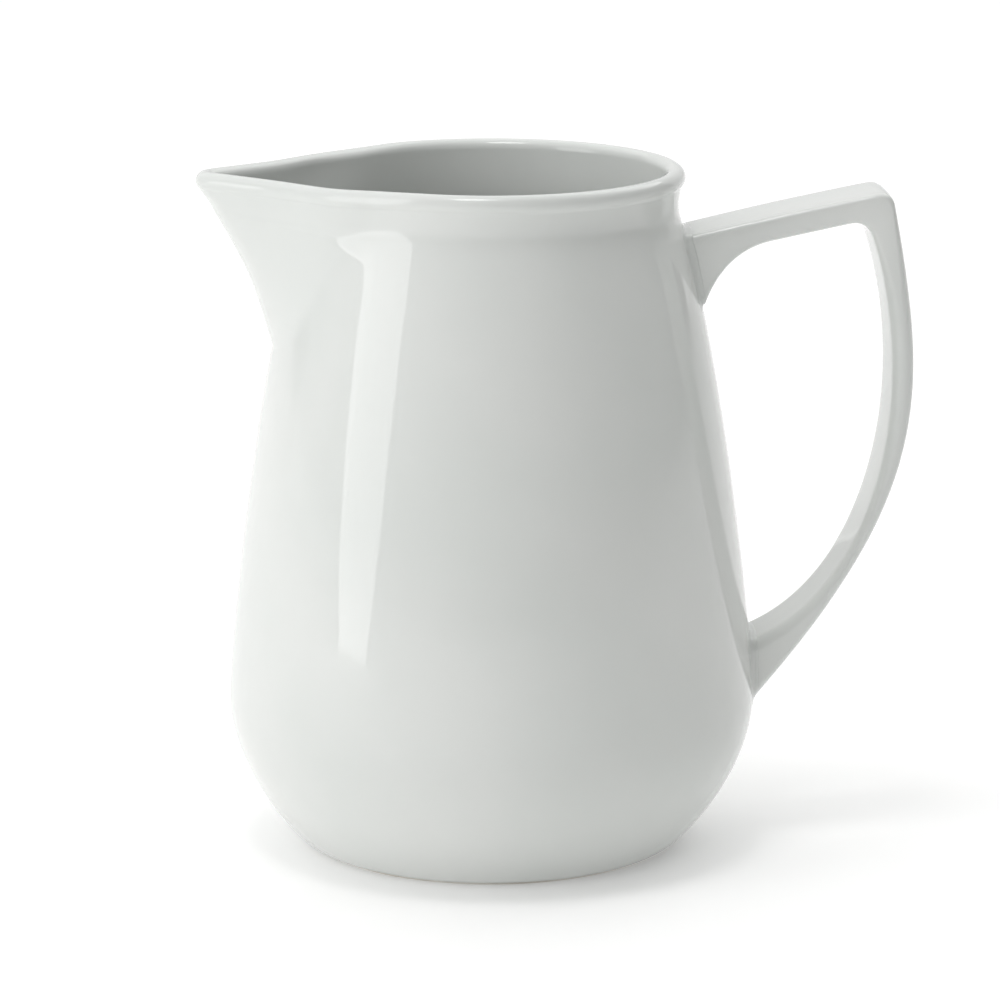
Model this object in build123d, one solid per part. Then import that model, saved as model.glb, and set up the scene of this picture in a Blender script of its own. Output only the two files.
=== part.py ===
from build123d import *
import math
import os

# A porcelain jug: a cast body with a drawn-out spout and a rolled rim, and a flat strap handle that is
# cast apart and stuck on with slip. All sizes are in millimetres. The jug stands on z = 0 with the
# body's axis on Z, the handle towards +X and the spout towards -X.

# Body, outside
base_radius = 35.8        # where the wall turns up from the underside
base_lift = 0.8           # height of that edge above the table
base_lead = 2.0           # how far the wall runs out before it starts to climb
belly_radius = 50.4       # widest place
belly_height = 28.1       # height of that place
bowl_fullness = 13.3      # how far below the belly the wall stays nearly upright
belly_swell = 9.6         # the same, above the belly
neck_radius = 35.3        # narrowest place, under the rim
neck_drop = 8.1           # how far the neck is below the top of the rim
neck_slope = 0.32         # how fast the flank leans in at the neck, radius per height
neck_reach = 28.8         # how far down the flank keeps that lean

# Rim
rim_height = 130.6        # top of the rolled rim
rim_roll_radius = 1.85    # roundness of the roll in section
mouth_radius = 34.8       # axis to the middle of the roll
rim_seat = 0.35           # how far the wall's edge stays inside the roll, on each side
cove_height = 2.8         # how far above the neck the wall turns out to meet the roll
cove_share = 0.3          # how much of that turn it has made by then

# Wall and floor
wall = 2.8
floor_height = 5.6        # top of the inside floor
floor_radius = 26.0       # flat part of the inside floor
floor_turn = 11.0         # how far out the inside floor stays nearly flat after that

# Foot
foot_outer_radius = 34.6
foot_width = 3.4          # of the bare ring that the jug stands on
foot_recess = 2.4         # height of the hollow inside the foot

# Spout
spout_drop = 33.6         # how far below the top of the rim the keel leaves the wall
spout_reach = 55.2        # axis to the lip, at the edge of the wall
keel_rise = (4.3, 15.7)   # first pull of the keel's curve, out and up from its root
keel_fall = (9.0, 17.0)   # last pull, in and down from the lip
lip_radius = 4.6          # roundness of the lip, seen from above
keel_radius = 16.0        # roundness of the keel at its root
root_turn = 30.0          # how far round from the keel, in degrees, the spout reaches at its root
spout_levels = 7          # sections between the root and the neck

# Handle
handle_width = 16.0       # across the strap
handle_edge_radius = 0.8  # rounding along the strap's long edges
bar_root_reach = 43.0     # top bar's upper face, where it leaves the body
bar_drop = 11.1           # how far that is below the top of the rim
bar_rise = 6.8            # how much the bar climbs from there to the corner
bar_thickness = 4.8
bar_crown = 0.3           # how much the top bar bows upwards
corner_reach = 75.4       # the handle's outer corner, before it is rounded
corner_radius = 2.2
crook_radius = 2.5        # inside of that corner
grip_thickness = 5.0      # just below the corner
grip_outer_lead = (7.6, -37.3)      # first pull of the grip's outer curve, from the corner
grip_outer_land = (35.4, 41.5)      # its last pull, from the lower end
grip_inner_lead = (10.9, -27.0)     # the same for the inner curve, from the crook
grip_inner_land = (25.7, 10.95)
root_low = 27.8           # lower end of the handle on the body, its outer edge
root_spread = 11.9        # from there up to the inner edge
root_depth = 4.0          # how far the handle's ends run on inside the body before they are trimmed
web_drop = 15.0           # how far the web under the top bar runs down the body
web_reach = 9.5           # how far it runs out along the bar
web_hollow = 0.5          # how far off the body its curve bends

# Slip joints
slip_thickness = 0.5
slip_margin = 1.2         # how far the slip squeezes out past the handle's end

# Heights that follow from these
rim_middle = rim_height - rim_roll_radius
neck_height = rim_height - neck_drop
spout_root_height = rim_height - spout_drop
bar_root_height = rim_height - bar_drop
corner_height = bar_root_height + bar_rise


def flank_curve(inset):
    """Belly to neck, as (radius, height) control points of a cubic curve."""
    neck = neck_radius - inset
    return [
        (belly_radius - inset, belly_height),
        (belly_radius - inset, belly_height + belly_swell),
        (neck + neck_slope * neck_reach, neck_height - neck_reach),
        (neck, neck_height),
    ]


def bowl_curve(inset):
    """Underside edge to belly. The cavity's bowl starts on the inside floor."""
    if inset > 0:
        edge = (floor_radius, floor_height)
        turn = (floor_radius + floor_turn, floor_height)
    else:
        edge = (base_radius - inset, base_lift)
        turn = (base_radius - inset + base_lead, base_lift)
    belly = belly_radius - inset
    return [edge, turn, (belly, belly_height - bowl_fullness), (belly, belly_height)]


def reach_at(curve, height):
    """Reach of a rising curve at a height, found by halving along it."""
    low, high = 0.0, 1.0
    for _ in range(40):
        t = (low + high) / 2
        weights = ((1 - t) ** 3, 3 * (1 - t) ** 2 * t, 3 * (1 - t) * t ** 2, t ** 3)
        reach, level = (sum(w * p[i] for w, p in zip(weights, curve)) for i in (0, 1))
        low, high = (t, high) if level < height else (low, t)
    return reach


def flank_radius(height, inset=0.0):
    return reach_at(flank_curve(inset), height)


def round_body(inset):
    """The body without its spout, as a solid of revolution up to the neck, its seam at the side."""
    bowl = Bezier(*[(r, 0, z) for r, z in bowl_curve(inset)])
    flank = Bezier(*[(r, 0, z) for r, z in flank_curve(inset)])
    top, bottom = flank @ 1, bowl @ 0
    closing = Polyline(top, (0, 0, top.Z), (0, 0, bottom.Z), bottom)
    return Rot(0, 0, 90) * revolve(make_face(Wire([bowl, flank] + closing.edges())), Axis.Z)


def spout_section(radius, tip, tip_radius, height):
    """A circle drawn out to a rounded tip at -X, by two straight sides tangent to both rounds."""
    centre = tip - tip_radius
    turn = math.degrees(math.acos((radius - tip_radius) / centre))
    around = CenterArc((0, 0), radius, turn - 180, 360 - 2 * turn)
    lip = CenterArc((-centre, 0), tip_radius, 180 - turn, 2 * turn)
    edges = [around, Line(around @ 1, lip @ 0), lip, Line(lip @ 1, around @ 0)]
    return Pos(0, 0, height) * Wire(edges)


def root_section(radius, height):
    """The plain circle that the spout grows from, split into four to match the sections above."""
    splits = [root_turn - 180, 180 - root_turn, 180 - root_turn / 3, 180 + root_turn / 3, 180 + root_turn]
    edges = [CenterArc((0, 0), radius, a, b - a) for a, b in zip(splits, splits[1:])]
    return Pos(0, 0, height) * Wire(edges)


def keel_reach(height):
    """Axis to the keel of the spout, from its root on the wall to the lip."""
    root = (flank_radius(spout_root_height), spout_root_height)
    lip = (spout_reach, rim_middle)
    first = (root[0] + keel_rise[0], root[1] + keel_rise[1])
    last = (lip[0] - keel_fall[0], lip[1] - keel_fall[1])
    return reach_at([root, first, last, lip], height)


def skin(inset):
    """Everything inside the body's surface, moved inwards by an inset, from the foot to the rim's roll."""
    edge = rim_roll_radius - rim_seat
    rim_edge = mouth_radius - edge if inset > 0 else mouth_radius + edge - inset
    neck = neck_radius - inset
    step = (neck_height - spout_root_height) / spout_levels
    heights = [spout_root_height + step * (i + 1) for i in range(spout_levels)]
    stations = [(height, flank_radius(height, inset)) for height in heights]
    stations.append((neck_height + cove_height, neck + (rim_edge - neck) * cove_share))
    stations.append((rim_middle, rim_edge))
    wires = [root_section(flank_radius(spout_root_height, inset), spout_root_height)]
    for height, radius in stations:
        share = (height - spout_root_height) / (rim_middle - spout_root_height)
        roundness = keel_radius + (lip_radius - keel_radius) * share
        wires.append(spout_section(radius, keel_reach(height) - inset, roundness - inset, height))
    upper = Solid.make_loft(wires)
    size = 4 * belly_radius
    below = Pos(0, 0, spout_root_height - size / 2) * Box(size, size, size)
    return (round_body(inset) & below) + upper


def body():
    """The cast body: skin less cavity, with the rolled rim and the hollow inside the foot."""
    inward = rim_roll_radius - rim_seat
    path = spout_section(mouth_radius, spout_reach - inward, lip_radius - inward, rim_middle)
    start = Plane(origin=path @ 0, z_dir=path % 0)
    roll = sweep(start * Circle(rim_roll_radius), path=path)
    recess = Pos(0, 0, foot_recess / 2) * Cylinder(foot_outer_radius - foot_width, foot_recess)
    return skin(0) - skin(wall) + roll - recess


def foot_ring():
    ring = Circle(foot_outer_radius) - Circle(foot_outer_radius - foot_width)
    return extrude(ring, base_lift)


def run_on(curve):
    """Where a curve gets to inside the body if it runs straight on past its end."""
    return curve @ 1 + (curve % 1) * root_depth


def grip_curve(start, lead, land, end_height):
    """One side of the grip, from the corner or the crook down to the belly."""
    first = (start[0] + lead[0], start[1] + lead[1])
    last = (belly_radius + land[0], end_height + land[1])
    return Bezier(start, first, last, (belly_radius, end_height))


def handle_outline(growth):
    """Side view of the handle, grown by an amount, its two ends running on into the body."""
    slope = (corner_height - bar_root_height) / (corner_reach - bar_root_reach)
    corner = (corner_reach + growth, corner_height + growth)
    inward = bar_root_reach - neck_radius + root_depth
    bar_start = (bar_root_reach - inward, bar_root_height - slope * inward + growth)
    upper = SagittaArc(corner, bar_start, bar_crown)

    crook_reach = corner_reach - grip_thickness - growth
    crook = (crook_reach, corner_height - bar_thickness - slope * grip_thickness - growth)
    outer = grip_curve(corner, grip_outer_lead, grip_outer_land, root_low - growth)
    inner = grip_curve(crook, grip_inner_lead, grip_inner_land, root_low + root_spread + growth)

    under = bar_root_height - bar_thickness - growth
    web_top = (bar_root_reach + web_reach, under + slope * web_reach)
    web_height = bar_root_height - web_drop - growth
    web_bottom = (flank_radius(web_height), web_height)
    lower = Line(crook, web_top)
    web = Bezier(web_top, (bar_root_reach + web_hollow, under + slope * web_hollow), web_bottom)
    low_end = Polyline(outer @ 1, run_on(outer), run_on(inner), inner @ 1)
    high_end = Polyline(web @ 1, (web_bottom[0] - root_depth, web_height), bar_start)
    face = make_face(Wire([upper, outer, inner, lower, web] + low_end.edges() + high_end.edges()))
    face = fillet(face.vertices().sort_by_distance(corner)[0], corner_radius + growth)
    return fillet(face.vertices().sort_by_distance(crook)[0], crook_radius)


def strap(growth):
    """The handle before its ends are trimmed, grown all round by an amount. The ends stay square."""
    half = handle_width / 2 + growth
    bar = extrude(Plane.XZ * handle_outline(growth), half, both=True)
    sides = bar.edges().filter_by(lambda edge: abs(abs(edge.center().Y) - half) < half / 100)
    straight = sides.filter_by(GeomType.LINE)
    low_end = straight.filter_by(lambda edge: edge.center().Z < neck_height / 2)
    high_end = straight.filter_by(lambda edge: edge.center().X < bar_root_reach + root_depth)
    return fillet(sides - low_end - high_end, handle_edge_radius)


outside = skin(0)
slip_face = skin(-slip_thickness)
handle = strap(0) - slip_face
slip = (strap(slip_margin) - outside) & slip_face
lower_slip, upper_slip = slip.solids().sort_by(Axis.Z)

os.makedirs("parts", exist_ok=True)
export_step(body(), "parts/jug_body.step")
export_step(foot_ring(), "parts/foot_ring.step")
export_step(handle, "parts/handle.step")
export_step(upper_slip, "parts/upper_joint_slip.step")
export_step(lower_slip, "parts/lower_joint_slip.step")
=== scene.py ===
import math

import bmesh
import bpy
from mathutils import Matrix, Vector


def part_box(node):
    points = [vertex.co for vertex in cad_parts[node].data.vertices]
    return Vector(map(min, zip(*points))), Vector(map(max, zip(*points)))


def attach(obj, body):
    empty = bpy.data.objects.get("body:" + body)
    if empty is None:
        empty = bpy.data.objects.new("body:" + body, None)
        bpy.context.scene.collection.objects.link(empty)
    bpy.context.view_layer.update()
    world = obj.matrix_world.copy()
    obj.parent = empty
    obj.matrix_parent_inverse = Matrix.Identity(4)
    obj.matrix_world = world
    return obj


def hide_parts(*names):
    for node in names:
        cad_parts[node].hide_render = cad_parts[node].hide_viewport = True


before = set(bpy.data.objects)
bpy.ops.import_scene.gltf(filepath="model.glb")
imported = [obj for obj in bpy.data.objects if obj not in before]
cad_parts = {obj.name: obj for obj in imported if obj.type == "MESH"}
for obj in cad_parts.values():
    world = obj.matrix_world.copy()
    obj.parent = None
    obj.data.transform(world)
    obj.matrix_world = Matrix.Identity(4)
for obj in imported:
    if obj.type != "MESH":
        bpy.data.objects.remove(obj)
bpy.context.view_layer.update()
mm = 0.001  # meshes are drawn in millimetres and scaled once, at the end
weld = 0.0005  # points closer than this are one point


def mix(a, b, share):
    return a + (b - a) * share


def smoothStep(low, high, value):
    # 0 at low, 1 at high, soft in between; high may be the smaller of the two
    share = min(max((value - low) / (high - low), 0.0), 1.0)
    return share * share * (3 - 2 * share)


def curvePoint(points, share):
    # a point of the curve that runs from the first to the last, pulled by those between
    while len(points) > 1:
        points = [tuple(mix(p, q, share) for p, q in zip(a, b)) for a, b in zip(points, points[1:])]
    return points[0]


def curvePoints(points, count, first=0.0):
    return [curvePoint(points, mix(first, 1.0, i / (count - 1))) for i in range(count)]


def arcPoints(centre, radius, start, end, count):
    turns = [math.radians(mix(start, end, i / (count - 1))) for i in range(count)]
    return [(centre[0] + radius * math.cos(t), centre[1] + radius * math.sin(t)) for t in turns]


def evenly(points, count):
    # the same line, walked in equal steps
    lengths = [0.0]
    for a, b in zip(points, points[1:]):
        lengths.append(lengths[-1] + math.dist(a, b))
    walked = []
    at = 0
    for i in range(count):
        want = lengths[-1] * i / (count - 1)
        while at < len(points) - 2 and lengths[at + 1] < want:
            at += 1
        span = max(lengths[at + 1] - lengths[at], weld)
        share = min((want - lengths[at]) / span, 1.0)
        walked.append(tuple(mix(p, q, share) for p, q in zip(points[at], points[at + 1])))
    return walked


def reachAt(points, height):
    # how far out a rising curve is at a height
    low, high = 0.0, 1.0
    for _ in range(30):
        middle = (low + high) / 2
        if curvePoint(points, middle)[1] < height:
            low = middle
        else:
            high = middle
    return curvePoint(points, low)[0]


def makePiece(name, bm, material, node):
    # welds a drawn shape, turns its faces outwards and puts it in place of a part of the frame
    bmesh.ops.remove_doubles(bm, verts=bm.verts, dist=weld)
    bmesh.ops.recalc_face_normals(bm, faces=bm.faces)
    bmesh.ops.scale(bm, vec=(mm, mm, mm), verts=bm.verts)
    for face in bm.faces:
        face.smooth = True
    mesh = bpy.data.meshes.new(name)
    bm.to_mesh(mesh)
    bm.free()
    piece = bpy.data.objects.new(name, mesh)
    bpy.context.scene.collection.objects.link(piece)
    mesh.materials.append(material)
    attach(piece, "root")
    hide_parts(node)
    print(name, len(mesh.polygons), "faces")


class Wire:
    # one socket of a finish, with arithmetic that adds Math nodes
    def __init__(self, finish, socket):
        self.finish, self.socket = finish, socket

    def maths(self, operation, first, second):
        return self.finish.node("Math", {"operation": operation}, {0: first, 1: second})

    def __add__(self, other):
        return self.maths("ADD", self, other)

    def __radd__(self, other):
        return self.maths("ADD", other, self)

    def __sub__(self, other):
        return self.maths("SUBTRACT", self, other)

    def __rsub__(self, other):
        return self.maths("SUBTRACT", other, self)

    def __mul__(self, other):
        return self.maths("MULTIPLY", self, other)

    def __rmul__(self, other):
        return self.maths("MULTIPLY", other, self)


class Finish:
    # a material and the nodes that make it
    def __init__(self, name):
        self.material = bpy.data.materials.new(name)
        self.material.use_nodes = True
        self.tree = self.material.node_tree
        self.shader = self.tree.nodes["Principled BSDF"]

    def plug(self, socket, value):
        if isinstance(value, Wire):
            self.tree.links.new(value.socket, socket)
        else:
            socket.default_value = value

    def node(self, kind, settings, sockets, output=0):
        # its type, then its settings, then its sockets by name or number
        made = self.tree.nodes.new("ShaderNode" + kind)
        for key, value in settings.items():
            setattr(made, key, value)
        for key, value in sockets.items():
            self.plug(made.inputs[key], value)
        return Wire(self, made.outputs[output])

    def noise(self, place, scale, detail):
        return self.node("TexNoise", {}, {"Vector": place, "Scale": scale, "Detail": detail})

    def bump(self, height, distance, **sockets):
        return self.node("Bump", {}, {"Height": height, "Distance": distance, "Strength": 1.0, **sockets})

    def output(self, wire, name):
        # another output of the node that a wire comes from
        return Wire(self, wire.socket.node.outputs[name])

    def between(self, value, low, high):
        # 0 below low, 1 above high, soft in between
        return self.node("MapRange", {"interpolation_type": "SMOOTHSTEP"}, {0: value, 1: low, 2: high})

    def blend(self, share, first, second):
        # mixes two colours, whose sockets come after those for numbers and vectors
        return self.node("Mix", {"data_type": "RGBA"}, {0: share, 6: first, 7: second}, output=2)

    def set(self, **sockets):
        for key, value in sockets.items():
            self.plug(self.shader.inputs[key.replace("_", " ")], value)
        return self.material


glazeLook = {
    "clay": (0.70, 0.715, 0.695, 1),      # porcelain seen through the glaze
    "pooled": (0.61, 0.645, 0.62, 1),     # where the glaze runs thick
    "cloudScale": 26.0,                   # soft clouds in its colour, per metre
    "cloudRange": (0.35, 0.7),
    "cloudDepth": 0.30,
    "speck": (0.16, 0.13, 0.10, 1),       # iron specks in the clay
    "speckScale": 210.0,
    "speckShare": (0.0032, 0.00256),      # how many of the cells hold one, faint and full
    "speckSize": (0.035, 0.075),          # its dark middle and its faded edge, in cells
    "waveScale": 55.0,                    # soft waves in the glaze, per metre
    "waveHeight": 0.00006,
    "peelScale": 900.0,                   # the fine orange peel on them
    "peelHeight": 0.000004,
    "roughness": (0.035, 0.06),
    "roughRange": (0.3, 0.8),
    "index": 1.5,
}


def glazeFinish(name, pooling):
    look = glazeLook
    finish = Finish(name)
    place = finish.node("TexCoord", {}, {}, output="Object")
    clouds = finish.noise(place, look["cloudScale"], detail=3.0)
    waves = finish.noise(place, look["waveScale"], detail=1.0)
    peel = finish.noise(place, look["peelScale"], detail=2.0)
    cells = finish.node("TexVoronoi", {"feature": "F1"}, {"Vector": place, "Scale": look["speckScale"]})
    lot = finish.node("SeparateColor", {}, {"Color": finish.output(cells, "Color")})
    faint, full = look["speckShare"]
    chosen = finish.between(lot, 1 - faint, 1 - full)
    dot = 1 - finish.between(cells, *look["speckSize"])
    thick = finish.between(clouds, *look["cloudRange"]) * look["cloudDepth"] + pooling
    colour = finish.blend(thick, look["clay"], look["pooled"])
    colour = finish.blend(chosen * dot, colour, look["speck"])
    low, high = look["roughness"]
    rough = finish.between(clouds, *look["roughRange"]) * (high - low) + low
    waved = finish.bump(waves, look["waveHeight"])
    skin = finish.bump(peel, look["peelHeight"], Normal=waved)
    return finish.set(Base_Color=colour, Roughness=rough, Normal=skin, IOR=look["index"])


bareLook = {
    "clean": (0.80, 0.78, 0.73, 1),
    "worn": (0.66, 0.62, 0.55, 1),        # grey-brown from standing and sliding
    "grainScale": 1400.0,
    "grainHeight": 0.00004,
    "stainScale": 60.0,
    "stainRange": (0.35, 0.75),
    "roughness": (0.65, 0.90),
    "index": 1.45,
}


def bareClayFinish():
    look = bareLook
    finish = Finish("bareGroundClay")
    place = finish.node("TexCoord", {}, {}, output="Object")
    grain = finish.noise(place, look["grainScale"], detail=4.0)
    stain = finish.noise(place, look["stainScale"], detail=3.0)
    colour = finish.blend(finish.between(stain, *look["stainRange"]), look["clean"], look["worn"])
    low, high = look["roughness"]
    rough = grain * (high - low) + low
    ground = finish.bump(grain, look["grainHeight"])
    return finish.set(Base_Color=colour, Roughness=rough, Normal=ground, IOR=look["index"])


glaze = glazeFinish("porcelainGlaze", 0.0)
jointGlaze = glazeFinish("pooledJointGlaze", 0.18)
bareClay = bareClayFinish()
print("finishes made")

bodyLow, bodyHigh = (tuple(v / mm for v in corner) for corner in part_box("jug_body"))
ringHigh = tuple(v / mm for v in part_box("foot_ring")[1])

jug = {
    "rimTop": bodyHigh[2],
    "bellyRadius": bodyHigh[1],
    "lift": bodyLow[2],            # underside edge above the table
    "baseRadius": ringHigh[0] + 1.2,
    "baseLead": 2.0,               # how far the bowl leaves the base nearly flat
    "bellyHeight": 28.1,
    "bowlFullness": 13.3,
    "bellySwell": 9.6,             # how far the flank rises nearly upright
    "neckRadius": 35.3,
    "neckHeight": 122.5,
    "neckSlope": 0.32,
    "neckReach": 28.8,
    "insideEnd": 0.955,            # how much of the flank's curve the inside follows
    "outsideEnd": 0.985,           # and the outside
    "coveLead": 1.9,
    "coveLand": (0.55, 2.0),       # how the cove under the rim comes in to the roll
    "rollRadius": 1.85,
    "rollMiddle": 34.8,            # axis to the middle of the rolled rim
    "rollEnd": -48,                # degrees; how far the roll goes round to the cove
    "throat": 2.8,                 # how gently the inside runs up into the roll
    "wall": 2.8,
    "floorHeight": 5.6,
    "floorRadius": 26.0,
    "floorTurn": 11.0,
    "floorDish": 0.25,             # how much the inside floor is lower in the middle
    "glazeEnd": ringHigh[0] + 0.35,  # the glaze stops here, just outside the bare ring
    "ringInner": ringHigh[0] - 3.4,
    "recessTop": 2.4,
    "recessFoot": ((0.1, 0.0), (0.5, 0.15), (0.8, 0.6)),     # inside the ring, and above the underside
    "recessHead": ((1.1, -0.4), (1.8, -0.08), (3.0, 0.0)),   # inside the ring, and from the recess's top
    "recessDome": 0.15,
    "edgeInset": 0.35,             # the spout is drawn from this far inside the roll
    "stepsRound": 360,
}
spout = {
    "root": 97.0,                  # height where the keel leaves the wall
    "reach": -bodyLow[0] - jug["edgeInset"],
    "rise": (4.3, 15.7),
    "fall": (9.0, 17.0),
    "lipRadius": 4.6,
    "keelRadius": 16.0,
    "leastRadius": 0.8,
    "crowding": 1.35,              # how much the mesh crowds towards the lip
    "coveSpan": 0.5,               # above the neck and
    "rollSpan": 1.4,               # below the roll's middle, where the drawing-out changes
    "rimDip": 0.45,                # the rim sags a little on each side of the spout
    "dipStart": (14, 32),          # how far out that sag comes in
    "dipEase": (38, 54),           # and where it eases off
    "dipAtLip": 0.6,               # to this share of it
    "dipFrom": 108,
    "shoulder": 1.9,               # the rim also swells out there
    "shoulderReach": 31.0,         # how far from the axis that swelling is
    "shoulderSpread": 7.0,
    "shoulderSide": (6, 16),       # how far to the side it comes in
    "shoulderFrom": 112,
}
rollHeight = jug["rimTop"] - jug["rollRadius"]


def flankCurve(inset):
    neck = jug["neckRadius"] - inset
    belly = jug["bellyRadius"] - inset
    return [(belly, jug["bellyHeight"]), (belly, jug["bellyHeight"] + jug["bellySwell"]),
            (neck + jug["neckSlope"] * jug["neckReach"], jug["neckHeight"] - jug["neckReach"]),
            (neck, jug["neckHeight"])]


def upTo(points, share):
    # the curve cut off at a share of it
    steps = 59
    return [curvePoint(points, share * i / steps) for i in range(steps + 1)]


def insideOutline():
    # from the middle of the floor, up the wall and into the rolled rim
    radius, floor, dish = jug["floorRadius"], jug["floorHeight"], jug["floorDish"]
    wall = jug["bellyRadius"] - jug["wall"]
    bowl = [(radius, floor), (radius + jug["floorTurn"], floor),
            (wall, jug["bellyHeight"] - jug["bowlFullness"]), (wall, jug["bellyHeight"])]
    outline = [(0, floor - dish), (radius / 2, floor - dish * 0.6)]
    outline += curvePoints(bowl, count=24)
    outline += upTo(flankCurve(jug["wall"]), jug["insideEnd"])[1:]
    last, reach = outline[-1], jug["rollMiddle"] - jug["rollRadius"]
    throat = [last, (last[0] - jug["neckSlope"] * jug["throat"], last[1] + jug["throat"]),
              (reach, rollHeight - jug["throat"]), (reach, rollHeight)]
    return outline + curvePoints(throat, count=18)[1:]


def outsideOutline(underRoll):
    # from under the rolled rim, down the cove, the flank and the bowl
    belly, lead, land = jug["bellyRadius"], jug["coveLead"], jug["coveLand"]
    flank = upTo(flankCurve(0), jug["outsideEnd"])
    top = flank[-1]
    cove = [top, (top[0] - jug["neckSlope"] * lead, top[1] + lead),
            (underRoll[0] - land[0], underRoll[1] - land[1]), underRoll]
    bowl = [(jug["baseRadius"], jug["lift"]), (jug["baseRadius"] + jug["baseLead"], jug["lift"]),
            (belly, jug["bellyHeight"] - jug["bowlFullness"]), (belly, jug["bellyHeight"])]
    return (curvePoints(cove, count=16)[::-1][1:] + flank[::-1][1:]
            + curvePoints(bowl, count=40)[::-1][1:])


def undersideOutline():
    # across the foot and into the recess inside it
    inner, top, dome = jug["ringInner"], jug["recessTop"], jug["recessDome"]
    outline = [(jug["glazeEnd"], jug["lift"])]
    outline += [(inner - inward, jug["lift"] + up) for inward, up in jug["recessFoot"]]
    outline += [(inner - inward, top + up) for inward, up in jug["recessHead"]]
    return outline + [(inner / 2, top + dome * 2 / 3), (0, top + dome)]


def bodyProfile():
    roll = (jug["rollMiddle"], rollHeight)
    over = arcPoints(roll, jug["rollRadius"], 180, jug["rollEnd"], count=30)[1:]
    return insideOutline() + over + outsideOutline(over[-1]) + undersideOutline()


def outerRadius(height):
    # the wall's own radius, which the spout is drawn from
    neckHeight = jug["neckHeight"]
    edge = jug["rollMiddle"] + jug["rollRadius"] - jug["edgeInset"]
    if height <= neckHeight:
        return reachAt(flankCurve(0), height)
    share = (height - neckHeight) / (rollHeight - neckHeight)
    return mix(jug["neckRadius"], edge, share)


def keelReach(height):
    # how far out the spout's keel is, from its root on the wall to the lip
    root = (outerRadius(spout["root"]), spout["root"])
    lip = (spout["reach"], rollHeight)
    nearRoot = (root[0] + spout["rise"][0], root[1] + spout["rise"][1])
    nearLip = (lip[0] - spout["fall"][0], lip[1] - spout["fall"][1])
    return reachAt([root, nearRoot, nearLip, lip], height)


def rollShare(height):
    # heights inside the rolled rim count as the middle of the roll
    low, high = jug["neckHeight"] + spout["coveSpan"], rollHeight - spout["rollSpan"]
    if height <= low:
        return height
    return mix(low, rollHeight, min((height - low) / (high - low), 1.0))


def drawOut(radius, turn, reference):
    # where a point of the round body goes: a small circle at the tip, joined to the body's own
    # circle by two tangent lines; turn counts from the spout
    wallRadius, tip, tipRadius = reference
    offset = radius - wallRadius
    tipRadius = max(tipRadius + offset, spout["leastRadius"])
    centre = tip + offset - tipRadius
    unmoved = (radius * math.cos(turn), radius * math.sin(turn))
    if centre <= radius - tipRadius + weld:
        return unmoved
    tangent = math.acos((radius - tipRadius) / centre)
    if abs(turn) >= tangent:
        return unmoved
    straight = centre * math.sin(tangent)
    walk = (abs(turn) / tangent) ** spout["crowding"] * (straight + tipRadius * tangent)
    side = math.copysign(1.0, turn)
    if walk <= tipRadius * tangent:
        angle = walk / tipRadius
        return centre + tipRadius * math.cos(angle), side * tipRadius * math.sin(angle)
    along = (walk - tipRadius * tangent) / straight
    start = (centre + tipRadius * math.cos(tangent), tipRadius * math.sin(tangent))
    end = (radius * math.cos(tangent), radius * math.sin(tangent))
    return mix(start[0], end[0], along), side * mix(start[1], end[1], along)


def shapeRim(out, across, height):
    # how far the rim beside the spout sags and how far it swells to the side
    dip = spout["rimDip"] * smoothStep(spout["dipFrom"], rollHeight, height)
    dip *= smoothStep(*spout["dipStart"], out)
    dip *= mix(1.0, spout["dipAtLip"], smoothStep(*spout["dipEase"], out))
    swell = spout["shoulder"] * math.exp(-((out - spout["shoulderReach"]) / spout["shoulderSpread"]) ** 2)
    swell *= smoothStep(*spout["shoulderSide"], abs(across))
    swell *= smoothStep(spout["shoulderFrom"], rollHeight, height - dip)
    return dip, swell


def buildBody():
    bm = bmesh.new()
    line = [bm.verts.new((r, 0, z)) for r, z in bodyProfile()]
    for a, b in zip(line, line[1:]):
        bm.edges.new((a, b))
    bmesh.ops.spin(bm, geom=bm.verts[:] + bm.edges[:], cent=(0, 0, 0), axis=(0, 0, 1),
                   angle=math.tau, steps=jug["stepsRound"], use_merge=True)
    bmesh.ops.remove_doubles(bm, verts=bm.verts, dist=weld)
    references = {}
    for v in bm.verts:
        if v.co.z <= spout["root"]:
            continue
        key = round(v.co.z, 3)
        if key not in references:
            height = rollShare(v.co.z)
            share = (height - spout["root"]) / (rollHeight - spout["root"])
            tipRadius = mix(spout["keelRadius"], spout["lipRadius"], share)
            references[key] = (outerRadius(height), keelReach(height), tipRadius)
        radius, turn = math.hypot(v.co.x, v.co.y), math.atan2(v.co.y, -v.co.x)
        out, across = drawOut(radius, turn, references[key])
        dip, swell = shapeRim(out, across, v.co.z)
        v.co = (-out, across + math.copysign(swell, across), v.co.z - dip)
    makePiece("porcelainBody", bm, glaze, "jug_body")


buildBody()

handleLow, handleHigh = (tuple(v / mm for v in corner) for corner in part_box("handle"))

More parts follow.
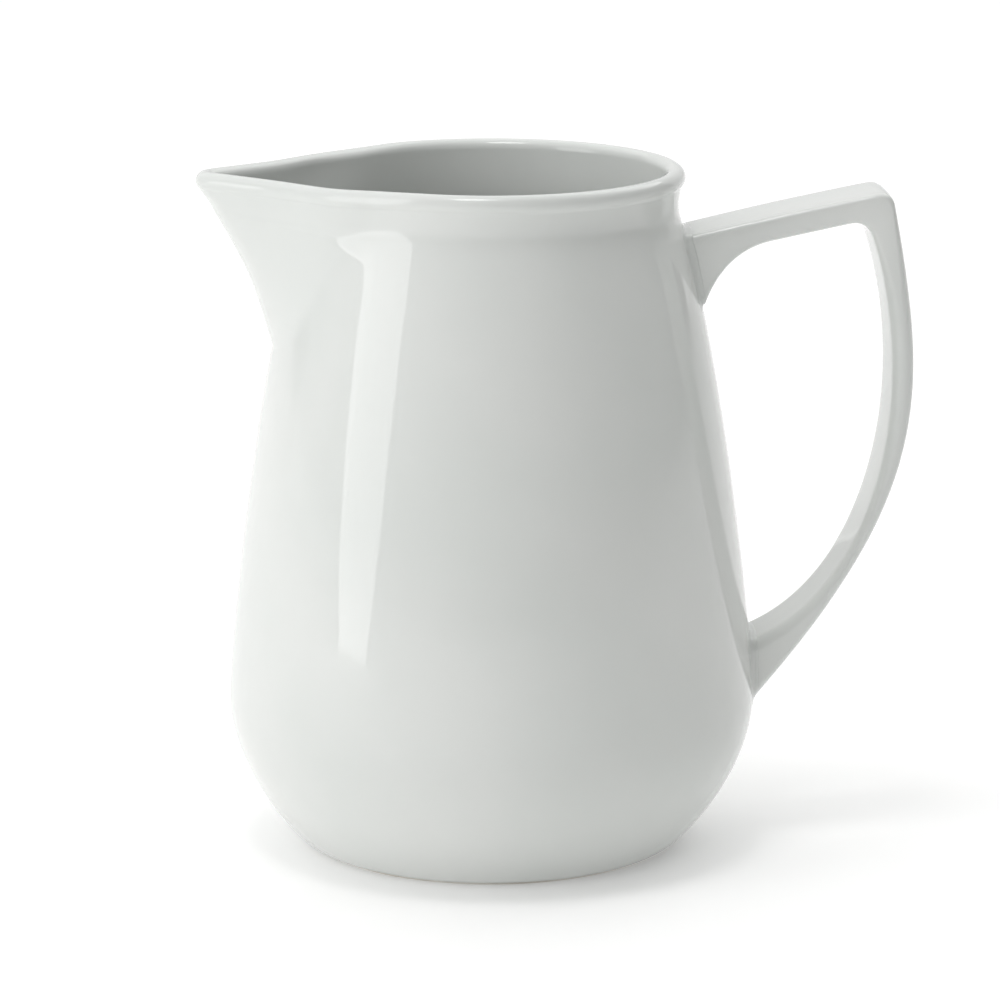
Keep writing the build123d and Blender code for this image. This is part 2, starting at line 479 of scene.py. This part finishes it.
strap = {
    "width": handleHigh[1] - handleLow[1],
    "edgeRound": (1.1, 2.1),      # along the top bar, and along the grip
    "gripDrop": 22,               # the grip's edge comes in over this height below the corner,
    "gripReach": (60, 68),        # this far out,
    "gripLow": (90, 70),          # and everywhere below these heights
    "sideSwell": 0.25,            # how far its four faces bulge
    "leastFlat": 0.2,             # half of the flat left between two rounded edges
    "rootReach": 43.0,            # top bar's upper face, where it leaves the body
    "rootHeight": 119.5,
    "rootDepth": 2.1,             # how far its ends run on into the body's wall
    "wallOut": 0.8,               # how far outside the neck's radius the wall is at the top bar
    "barThickness": 4.8,
    "crown": 0.3,                 # how much the top bar bows upwards
    "corner": (75.4, 126.3),
    "cornerSoft": 3.1,            # how far from the corner its rounding starts
    "crookSoft": 3.4,
    "gripThickness": 5.0,
    "outerLead": (7.6, -37.3),    # the grip's outer curve, from the corner
    "outerLand": (35.4, 41.5),    # and from its lower end
    "innerLead": (10.9, -27.0),
    "innerLand": (25.7, 10.95),
    "rootLow": 27.8,
    "rootSpread": 11.9,
    "webDrop": 15.0,              # how far down the wall the web under the top bar goes
    "webReach": 9.5,              # and how far out along the bar
    "webHollow": 0.5,
    "webSink": 0.3,
    "barSteps": 44,
    "turnSteps": 11,
    "gripSteps": 96,
    "edgeSteps": 7,
    "faceShares": (0.03, 0.12, 0.28, 0.5, 0.72, 0.88, 0.97),  # the mesh across each of its faces
}
barSlope = (strap["corner"][1] - strap["rootHeight"]) / (strap["corner"][0] - strap["rootReach"])


def runOn(before, end, length):
    # a line's last stretch carried on straight
    step = math.dist(before, end)
    return tuple(e + (e - b) * length / step for b, e in zip(before, end))


def trimLine(points, distance, atStart):
    # cuts a length off one end of a line of points
    count = 400
    walk = evenly(points, count)
    length = sum(math.dist(a, b) for a, b in zip(walk, walk[1:]))
    cut = round((count - 1) * distance / length)
    return walk[cut:] if atStart else walk[:count - cut]


def gripLine(start, lead, land, endHeight):
    # one side of the grip, from the corner down into the body
    end = (jug["bellyRadius"], endHeight)
    pulls = [(start[0] + lead[0], start[1] + lead[1]), (end[0] + land[0], end[1] + land[1])]
    line = curvePoints([start, *pulls, end], count=160)
    return line + [runOn(line[-2], line[-1], strap["rootDepth"])]


def strapRails():
    # the handle's outer and inner lines in side view, from the upper joint to the lower one
    corner = strap["corner"]
    barReach = jug["neckRadius"] + strap["wallOut"] - strap["rootDepth"]
    barStart = (barReach, strap["rootHeight"] - barSlope * (strap["rootReach"] - barReach))
    bow = (mix(barStart[0], corner[0], 0.5), mix(barStart[1], corner[1], 0.5) + 2 * strap["crown"])
    upper = curvePoints([barStart, bow, corner], count=80)
    inward = strap["gripThickness"]
    crook = (corner[0] - inward, corner[1] - strap["barThickness"] - barSlope * inward)
    under = strap["rootHeight"] - strap["barThickness"]
    webTop = (strap["rootReach"] + strap["webReach"], under + barSlope * strap["webReach"])
    webBend = (strap["rootReach"] + strap["webHollow"], under + barSlope * strap["webHollow"])
    webHeight = strap["rootHeight"] - strap["webDrop"]
    web = curvePoints([(outerRadius(webHeight), webHeight), webBend, webTop], count=60)
    lower = [(web[0][0] - strap["rootDepth"], webHeight - strap["webSink"])] + web + [crook]
    rails = []
    outer = gripLine(corner, strap["outerLead"], strap["outerLand"], strap["rootLow"])
    inner = gripLine(crook, strap["innerLead"], strap["innerLand"], strap["rootLow"] + strap["rootSpread"])
    for bar, grip, soft in ((upper, outer, strap["cornerSoft"]), (lower, inner, strap["crookSoft"])):
        start = trimLine(bar, soft, atStart=False)
        end = trimLine(grip, soft, atStart=True)
        turn = curvePoints([start[-1], bar[-1], end[0]], strap["turnSteps"])
        rails.append(evenly(start, strap["barSteps"])[:-1] + turn[:-1] + evenly(end, strap["gripSteps"]))
    return rails


def strapSection(width, thickness, edge):
    # one ring round the strap as (across, off the middle) pairs
    swell = strap["sideSwell"]
    halfW, halfT = width / 2 - swell, thickness / 2 - swell
    edge = min(edge, halfT - strap["leastFlat"])
    corners = [((a * (halfW - edge), b * (halfT - edge)), turn)
               for a, b, turn in ((1, 1, 0), (-1, 1, 90), (-1, -1, 180), (1, -1, 270))]
    ring = []
    for (centre, turn), (following, _) in zip(corners, corners[1:] + corners[:1]):
        arc = arcPoints(centre, edge, turn, turn + 90, strap["edgeSteps"])
        ring += arc
        begin = arc[-1]
        end = arcPoints(following, edge, turn + 90, turn + 180, count=2)[0]
        for share in strap["faceShares"]:
            ring.append((mix(begin[0], end[0], share), mix(begin[1], end[1], share)))
    return [(a + swell * (1 - (b / halfT) ** 2) * a / halfW, b + swell * (1 - (a / halfW) ** 2) * b / halfT)
            for a, b in ring]


def strapRings():
    rings = []
    cornerHeight = strap["corner"][1]
    for a, b in zip(*strapRails()):
        middle = Vector((mix(a[0], b[0], 0.5), 0, mix(a[1], b[1], 0.5)))
        outward = Vector((a[0] - b[0], 0, a[1] - b[1]))
        onGrip = smoothStep(cornerHeight, cornerHeight - strap["gripDrop"], a[1])
        onGrip *= smoothStep(*strap["gripReach"], a[0])
        onGrip = max(onGrip, smoothStep(*strap["gripLow"], a[1]))
        section = strapSection(strap["width"], outward.length, mix(*strap["edgeRound"], onGrip))
        outward.normalize()
        rings.append([middle + outward * off + Vector((0, across, 0)) for across, off in section])
    return rings


def wrapRings(rings, closed):
    # a tube through rings of points that all have the same count
    count = len(rings[0])
    bm = bmesh.new()
    bmesh.ops.create_grid(bm, x_segments=count, y_segments=len(rings) - 1, size=1.0)
    bm.verts.ensure_lookup_table()
    for j, ring in enumerate(rings):
        for i in range(count + 1):
            bm.verts[j * (count + 1) + i].co = ring[i % count]
    bmesh.ops.remove_doubles(bm, verts=bm.verts, dist=weld)
    if not closed:
        bmesh.ops.holes_fill(bm, edges=[e for e in bm.edges if e.is_boundary], sides=0)
    return bm


rings = strapRings()
makePiece("strapHandle", wrapRings(rings, closed=False), glaze, "handle")

collar = {
    "climb": 1.5,                 # how far the slip runs up the strap
    "spread": 1.3,                # and out over the body
    "depth": 0.5,                 # how far its hidden edges lie under the two surfaces
    "tuck": 0.1,
    "probe": 0.5,                 # how far up and down the wall its lean is measured
    "steps": 7,
}


def offBody(point):
    return math.hypot(point.x, point.y) - outerRadius(point.z)


def bodyNormal(point):
    probe = collar["probe"]
    lean = (outerRadius(point.z + probe) - outerRadius(point.z - probe)) / (2 * probe)
    around = Vector((point.x, point.y, 0)).normalized()
    return (around - Vector((0, 0, lean))).normalized()


def ontoBody(point):
    return point - bodyNormal(point) * offBody(point)


def buildCollar(name, rings, node):
    # a small hollow fillet of slip where the strap meets the wall; its rings start inside the body
    sections = []
    count = len(rings[0])
    depth = collar["depth"]
    for i in range(count):
        line = [ring[i] for ring in rings]
        at = next(k for k, point in enumerate(line) if offBody(point) > 0)
        below, above = line[at - 1], line[at]
        meets = below.lerp(above, offBody(below) / (offBody(below) - offBody(above)))
        walked = (above - meets).length
        while walked < collar["climb"]:
            at += 1
            walked += (line[at] - line[at - 1]).length
        onStrap = line[at] + (line[at - 1] - line[at]).normalized() * (walked - collar["climb"])
        around = rings[at][(i + 1) % count] - rings[at][i - 1]
        strapOut = around.cross(line[at] - line[at - 1]).normalized()
        if strapOut.dot(onStrap - sum(rings[at], Vector()) / count) < 0:
            strapOut.negate()
        wallOut = bodyNormal(meets)
        spreadWay = (strapOut - wallOut * strapOut.dot(wallOut)).normalized()
        onWall = ontoBody(meets + spreadWay * collar["spread"])
        curve = curvePoints([tuple(onStrap), tuple(meets), tuple(onWall)], collar["steps"])
        hidden = [onWall - wallOut * depth - spreadWay * collar["tuck"],
                  meets - wallOut * depth - strapOut * depth,
                  onStrap - strapOut * depth]
        sections.append([Vector(point) for point in curve] + hidden)
    sections.append(sections[0])
    makePiece(name, wrapRings(sections, closed=True), jointGlaze, node)


buildCollar("upperJointSlip", rings, "upper_joint_slip")
buildCollar("lowerJointSlip", rings[::-1], "lower_joint_slip")

footRing = {
    "outer": ringHigh[0],
    "inner": jug["ringInner"],
    "top": ringHigh[2] + 0.05,    # a little way up into the body
    "edgeRound": 0.3,
    "stepsRound": 192,
}


def buildFootRing():
    outer, inner, top, edge = (footRing[key] for key in ("outer", "inner", "top", "edgeRound"))
    outline = arcPoints((outer - edge, edge), edge, 0, -90, count=5)
    outline += arcPoints((inner + edge, edge), edge, -90, -180, count=5)
    outline += [(inner, top), (outer, top)]
    bm = bmesh.new()
    line = [bm.verts.new((r, 0, z)) for r, z in outline]
    for a, b in zip(line, line[1:] + line[:1]):
        bm.edges.new((a, b))
    bmesh.ops.spin(bm, geom=bm.verts[:] + bm.edges[:], cent=(0, 0, 0), axis=(0, 0, 1),
                   angle=math.tau, steps=footRing["stepsRound"], use_merge=True)
    makePiece("groundFootRing", bm, bareClay, "foot_ring")


buildFootRing()

studio = {
    "distance": 0.917,
    "height": 0.2741,
    "turn": -4.0,                 # degrees; the spout comes a little towards the camera
    "aim": (0.0017, 0.0661),      # right of the axis, and up
    "lens": 177.0,
    "nearest": 0.05,              # nothing closer than this is seen
    "air": 0.18,                  # light from all round
    "floorSize": 6.0,
    "floorColour": (0.86, 0.86, 0.855, 1),
    "floorRoughness": 0.75,
    "floorGlow": 0.20,            # keeps the floor near white
}


def buildCamera():
    turn = math.radians(studio["turn"])
    away = Vector((math.sin(turn), -math.cos(turn), 0))
    right = Vector((math.cos(turn), math.sin(turn), 0))
    data = bpy.data.cameras.new("studioCamera")
    data.lens = studio["lens"]
    data.clip_start = studio["nearest"]
    camera = bpy.data.objects.new("studioCamera", data)
    bpy.context.scene.collection.objects.link(camera)
    camera.location = away * studio["distance"] + Vector((0, 0, studio["height"]))
    target = right * studio["aim"][0] + Vector((0, 0, studio["aim"][1]))
    camera.rotation_euler = (target - camera.location).to_track_quat("-Z", "Y").to_euler()
    bpy.context.scene.camera = camera


def softbox(name, place, target, shape, size, glow, mirrored):
    data = bpy.data.lights.new(name, "AREA")
    data.shape = shape
    data.size, data.size_y = size
    fills = math.pi / 4 if shape == "ELLIPSE" else 1.0  # how much of its own box the face covers
    data.energy = glow * math.pi * fills * size[0] * size[1]
    light = bpy.data.objects.new(name, data)
    bpy.context.scene.collection.objects.link(light)
    light.location = place
    light.rotation_euler = (Vector(target) - Vector(place)).to_track_quat("-Z", "Y").to_euler()
    light.visible_camera = False
    light.visible_glossy = mirrored


lights = {
    # place, what it points at, shape, width and height, how bright its face is,
    # and whether the glaze mirrors it
    "windowLeft": ((-0.545, -0.250, 0.31), (0, 0, 0.31), "ELLIPSE", (0.30, 0.70), 2.5, True),
    "wallLeft": ((-0.85, 0.075, 0.4), (0, 0, 0.1), "RECTANGLE", (0.7, 0.8), 0.3, True),
    "leftFill": ((-0.75, -1.299, 0.9), (0, 0, 0.08), "RECTANGLE", (0.8, 0.8), 2.5, False),
    "ceiling": ((0.0, 1.0, 1.7), (0, 1.0, 0), "RECTANGLE", (4.0, 3.0), 1.0, True),
    "overhead": ((-0.15, -0.25, 1.25), (0, 0, 0.1), "ELLIPSE", (0.36, 0.36), 7.5, True),
    "backRight": ((0.7, 0.7, 1.1), (0, 0, 0.08), "RECTANGLE", (0.8, 0.8), 1.0, True),
    "backWall": ((0.0, 2.2, 0.8), (0, 0, 0.8), "RECTANGLE", (5.0, 1.6), 0.6, True),
}


def buildFloor():
    bm = bmesh.new()
    bmesh.ops.create_grid(bm, x_segments=1, y_segments=1, size=studio["floorSize"])
    mesh = bpy.data.meshes.new("paleFloor")
    bm.to_mesh(mesh)
    bm.free()
    floor = bpy.data.objects.new("paleFloor", mesh)
    bpy.context.scene.collection.objects.link(floor)
    pale = Finish("paleFloor").set(Base_Color=studio["floorColour"], Roughness=studio["floorRoughness"],
                                   Emission_Color=(1, 1, 1, 1), Emission_Strength=studio["floorGlow"])
    mesh.materials.append(pale)


def buildLight():
    for name, settings in lights.items():
        softbox(name, *settings)
    world = bpy.data.worlds.new("studioAir")
    world.use_nodes = True
    air = world.node_tree.nodes["Background"]
    air.inputs["Color"].default_value = (1, 1, 1, 1)
    air.inputs["Strength"].default_value = studio["air"]
    bpy.context.scene.world = world
    bpy.context.scene.view_settings.view_transform = "Standard"


buildCamera()
buildFloor()
buildLight()
print("studio ready")
